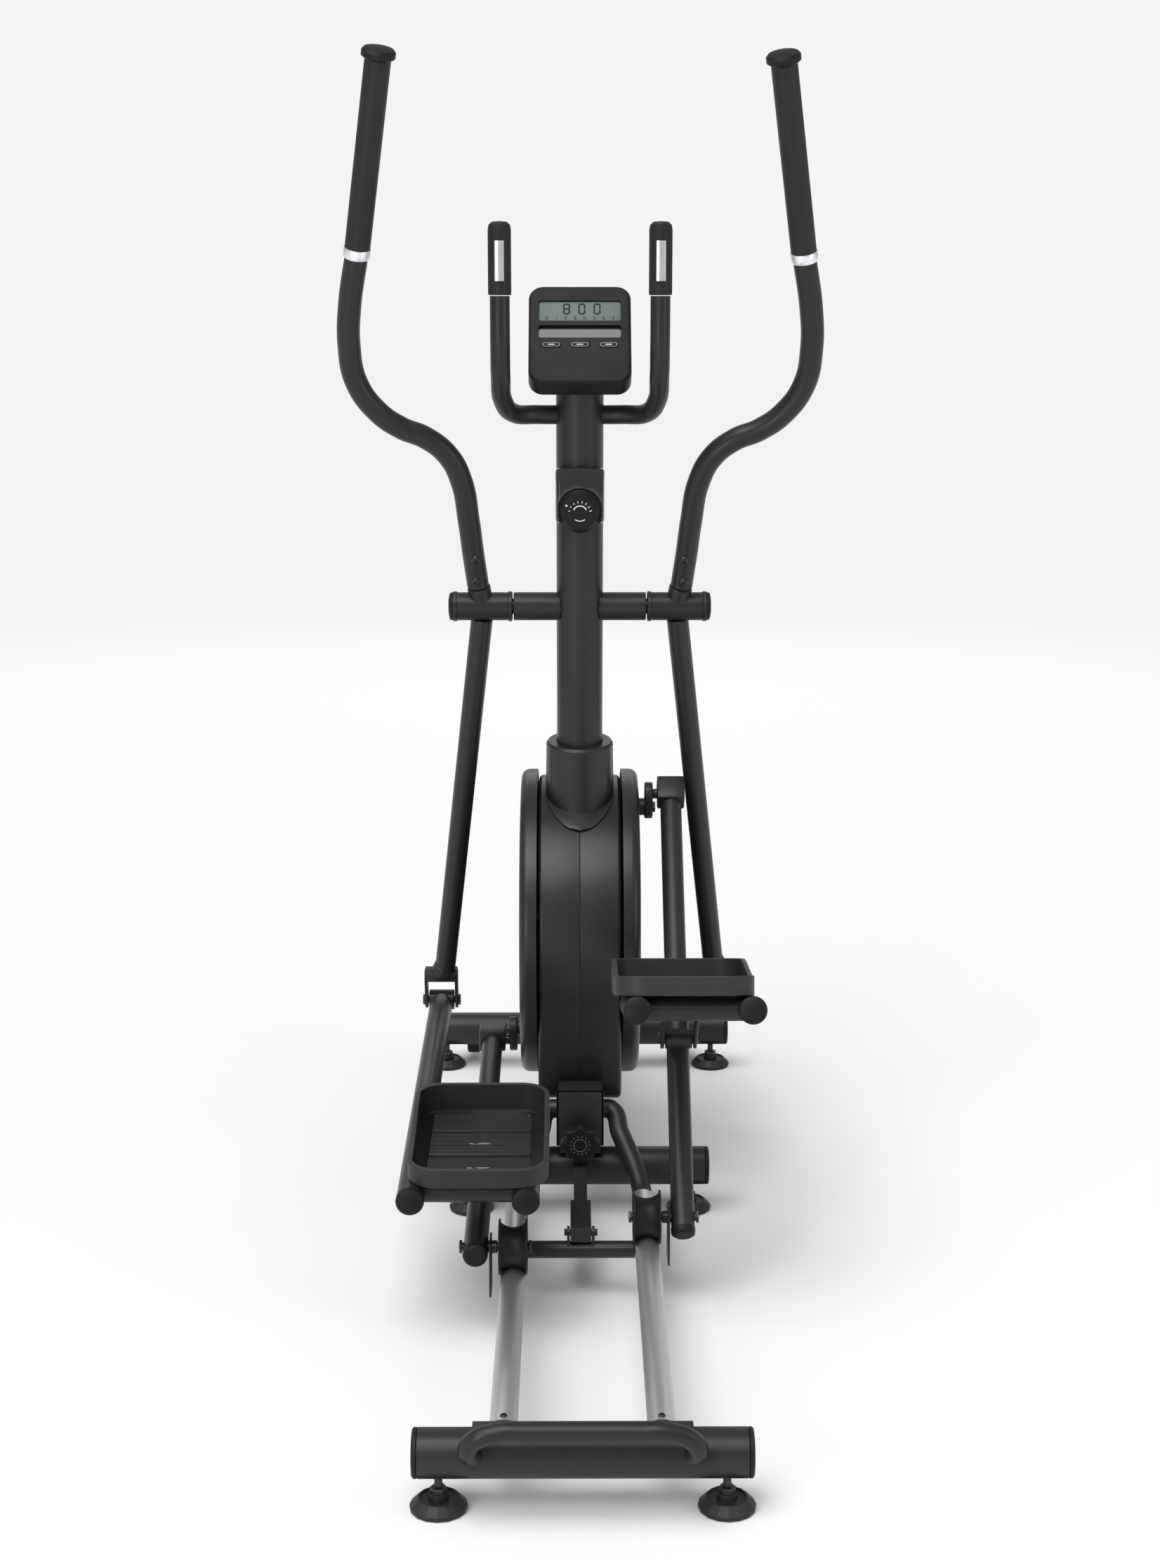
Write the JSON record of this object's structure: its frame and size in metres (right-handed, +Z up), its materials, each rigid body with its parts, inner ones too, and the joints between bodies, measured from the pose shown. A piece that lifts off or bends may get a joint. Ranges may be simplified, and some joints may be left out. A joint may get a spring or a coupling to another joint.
{
  "type": "elliptical trainer",
  "caption": "Front-drive elliptical trainer: round shroud with crank discs, swinging handle arms linked to tray pedals on roller rails, a mast with console and pulse handles.",
  "frame": {"origin": "middle of the footprint, on the floor", "axes": "+X to the user's right, +Y forward, the way the user faces, +Z up"},
  "size_m": [0.7102, 1.7894, 1.7656],
  "materials": {
    "black_paint": "satin black powder coat",
    "shroud_plastic": "satin black moulded plastic with a fine texture",
    "black_plastic": "black moulded plastic",
    "gloss_plastic": "glossy black plastic",
    "grip_plastic": "soft-touch black plastic",
    "grey_plastic": "dark grey textured plastic",
    "rubber": "black rubber",
    "bright_metal": "bright drawn aluminium",
    "steel": "turned steel",
    "cast_iron": "painted casting",
    "screen": "grey-green liquid crystal display"
  },
  "bodies": {
    "root": {"rear_stabiliser": "black_paint", "mid_stabiliser": "black_paint", "front_stabiliser": "black_paint", "lift_handle": "black_paint", "rail_left": "black_paint", "rail_right": "black_paint", "rail_cover_left": "bright_metal", "rail_cover_right": "bright_metal", "rail_plate": "black_paint", "rail_crossbar": "black_paint", "strut_lower": "black_paint", "strut_upper": "black_paint", "lock_bracket": "black_paint", "main_frame": "black_paint", "mast": "black_paint", "mast_collar": "shroud_plastic", "shroud_left": "shroud_plastic", "shroud_right": "shroud_plastic", "drive_belt": "rubber", "console_case": "black_plastic", "console_screen": "screen", "pulse_bar": "black_paint", "pulse_grip_left": "grip_plastic", "pulse_grip_right": "grip_plastic", "tension_bracket": "gloss_plastic"},
    "crank": {"crank_axle": "steel", "crank_disc_left": "shroud_plastic", "crank_disc_right": "shroud_plastic", "crank_arm_left": "black_paint", "crank_arm_right": "black_paint"},
    "flywheel_body": {"flywheel": "cast_iron", "flywheel_shaft": "steel"},
    "brake": {"brake_shoe": "cast_iron"},
    "tension": {"tension_knob": "black_plastic"},
    "lock": {"lock_knob": "black_plastic"},
    "key_left": {"button_left": "grey_plastic"},
    "key_middle": {"button_middle": "grey_plastic"},
    "key_right": {"button_right": "grey_plastic"},
    "right_swing": {"swing_arm_right": "black_paint", "swing_handle_right": "black_paint"},
    "right_link": {"link_frame_right": "black_paint", "pedal_right": "grey_plastic"},
    "right_arm": {"pedal_arm_right": "black_paint"},
    "right_roller": {"roller_right": "black_plastic"},
    "left_swing": {"swing_arm_left": "black_paint", "swing_handle_left": "black_paint"},
    "left_link": {"link_frame_left": "black_paint", "pedal_left": "grey_plastic"},
    "left_arm": {"pedal_arm_left": "black_paint"},
    "left_roller": {"roller_left": "black_plastic"},
    "right_transport": {"transport_wheel_right": "rubber"},
    "left_transport": {"transport_wheel_left": "rubber"},
    "rear_right_foot": {"rear_foot_right": "rubber"},
    "rear_left_foot": {"rear_foot_left": "rubber"},
    "mid_right_foot": {"mid_foot_right": "rubber"},
    "mid_left_foot": {"mid_foot_left": "rubber"},
    "front_right_foot": {"front_foot_right": "rubber"},
    "front_left_foot": {"front_foot_left": "rubber"}
  },
  "joints": [
    {"name": "right_stride", "type": "hinge", "parent": "root", "child": "right_swing", "pos_m": [0.153, 0.221, 0.951], "axis": [1, 0, 0], "range_deg": [-16.3, 16.3]},
    {"name": "right_link_pivot", "type": "hinge", "parent": "right_swing", "child": "right_link", "pos_m": [0.234, 0.42962, 0.25771], "axis": [1, 0, 0], "range_deg": [-8.9, 8.9]},
    {"name": "right_arm_pivot", "type": "hinge", "parent": "right_link", "child": "right_arm", "pos_m": [0.147, -0.05661, 0.33543], "axis": [1, 0, 0], "range_deg": [-7.5, 7.5]},
    {"name": "right_roller_spin", "type": "hinge", "parent": "right_arm", "child": "right_roller", "pos_m": [0.095, -0.23305, 0.12406], "axis": [1, 0, 0], "range_deg": [-450, 450]},
    {"name": "left_stride", "type": "hinge", "parent": "root", "child": "left_swing", "pos_m": [-0.153, 0.221, 0.951], "axis": [1, 0, 0], "range_deg": [-16.3, 16.3]},
    {"name": "left_link_pivot", "type": "hinge", "parent": "left_swing", "child": "left_link", "pos_m": [-0.234, 0.41184, 0.2526], "axis": [1, 0, 0], "range_deg": [-9.5, 9.5]},
    {"name": "left_arm_pivot", "type": "hinge", "parent": "left_link", "child": "left_arm", "pos_m": [-0.147, -0.07479, 0.17745], "axis": [1, 0, 0], "range_deg": [-6.9, 6.9]},
    {"name": "left_roller_spin", "type": "hinge", "parent": "left_arm", "child": "left_roller", "pos_m": [-0.095, -0.34534, 0.12635], "axis": [1, 0, 0], "range_deg": [-450, 450]},
    {"name": "crank_spin", "type": "hinge", "parent": "root", "child": "crank", "pos_m": [0, 0.336, 0.414], "axis": [1, 0, 0], "continuous": true},
    {"name": "flywheel_spin", "type": "hinge", "parent": "root", "child": "flywheel_body", "pos_m": [0, 0.461, 0.374], "axis": [1, 0, 0], "continuous": true},
    {"name": "tension_turn", "type": "hinge", "parent": "root", "child": "tension", "pos_m": [0, 0.2001, 1.113], "axis": [0, -0.9918, -0.1279], "range_deg": [0, 270]},
    {"name": "brake_swing", "type": "hinge", "parent": "root", "child": "brake", "pos_m": [0, 0.44555, 0.46165], "axis": [1, 0, 0], "range_deg": [0, 4]},
    {"name": "lock_pull", "type": "slide", "parent": "root", "child": "lock", "axis": [0, -1, 0], "range_m": [0, 0.012], "stiffness_N_per_m": 600, "springref_m": -0.003},
    {"name": "left_key_press", "type": "slide", "parent": "root", "child": "key_left", "axis": [0, 0.8191, -0.5736], "range_m": [0, 0.0012], "stiffness_N_per_m": 500, "springref_m": -0.001},
    {"name": "middle_key_press", "type": "slide", "parent": "root", "child": "key_middle", "axis": [0, 0.8191, -0.5736], "range_m": [0, 0.0012], "stiffness_N_per_m": 500, "springref_m": -0.001},
    {"name": "right_key_press", "type": "slide", "parent": "root", "child": "key_right", "axis": [0, 0.8191, -0.5736], "range_m": [0, 0.0012], "stiffness_N_per_m": 500, "springref_m": -0.001},
    {"name": "right_transport_spin", "type": "hinge", "parent": "root", "child": "right_transport", "pos_m": [0.2, 0.867, 0.036], "axis": [1, 0, 0], "continuous": true},
    {"name": "left_transport_spin", "type": "hinge", "parent": "root", "child": "left_transport", "pos_m": [-0.2, 0.867, 0.036], "axis": [1, 0, 0], "continuous": true},
    {"name": "rear_right_foot_turn", "type": "hinge", "parent": "root", "child": "rear_right_foot", "pos_m": [0.173, -0.833, 0.02], "axis": [0, 0, 1], "continuous": true},
    {"name": "rear_left_foot_turn", "type": "hinge", "parent": "root", "child": "rear_left_foot", "pos_m": [-0.173, -0.833, 0.02], "axis": [0, 0, 1], "continuous": true},
    {"name": "mid_right_foot_turn", "type": "hinge", "parent": "root", "child": "mid_right_foot", "pos_m": [0.173, 0.104, 0.02], "axis": [0, 0, 1], "continuous": true},
    {"name": "mid_left_foot_turn", "type": "hinge", "parent": "root", "child": "mid_left_foot", "pos_m": [-0.173, 0.104, 0.02], "axis": [0, 0, 1], "continuous": true},
    {"name": "front_right_foot_turn", "type": "hinge", "parent": "root", "child": "front_right_foot", "pos_m": [0.249, 0.811, 0.02], "axis": [0, 0, 1], "continuous": true},
    {"name": "front_left_foot_turn", "type": "hinge", "parent": "root", "child": "front_left_foot", "pos_m": [-0.249, 0.811, 0.02], "axis": [0, 0, 1], "continuous": true}
  ],
  "couplings": [
    {"joint": "left_stride", "follows": "right_stride", "ratio": -1},
    {"joint": "right_link_pivot", "follows": "right_stride", "ratio": -0.5433},
    {"joint": "right_arm_pivot", "follows": "right_stride", "ratio": -0.4567},
    {"joint": "right_roller_spin", "follows": "right_stride", "ratio": -24.45},
    {"joint": "left_link_pivot", "follows": "right_stride", "ratio": 0.5772},
    {"joint": "left_arm_pivot", "follows": "right_stride", "ratio": 0.4228},
    {"joint": "left_roller_spin", "follows": "right_stride", "ratio": 27.14},
    {"joint": "flywheel_spin", "follows": "crank_spin", "ratio": 6.3333},
    {"joint": "brake_swing", "follows": "tension_turn", "ratio": 0.0148}
  ]
}
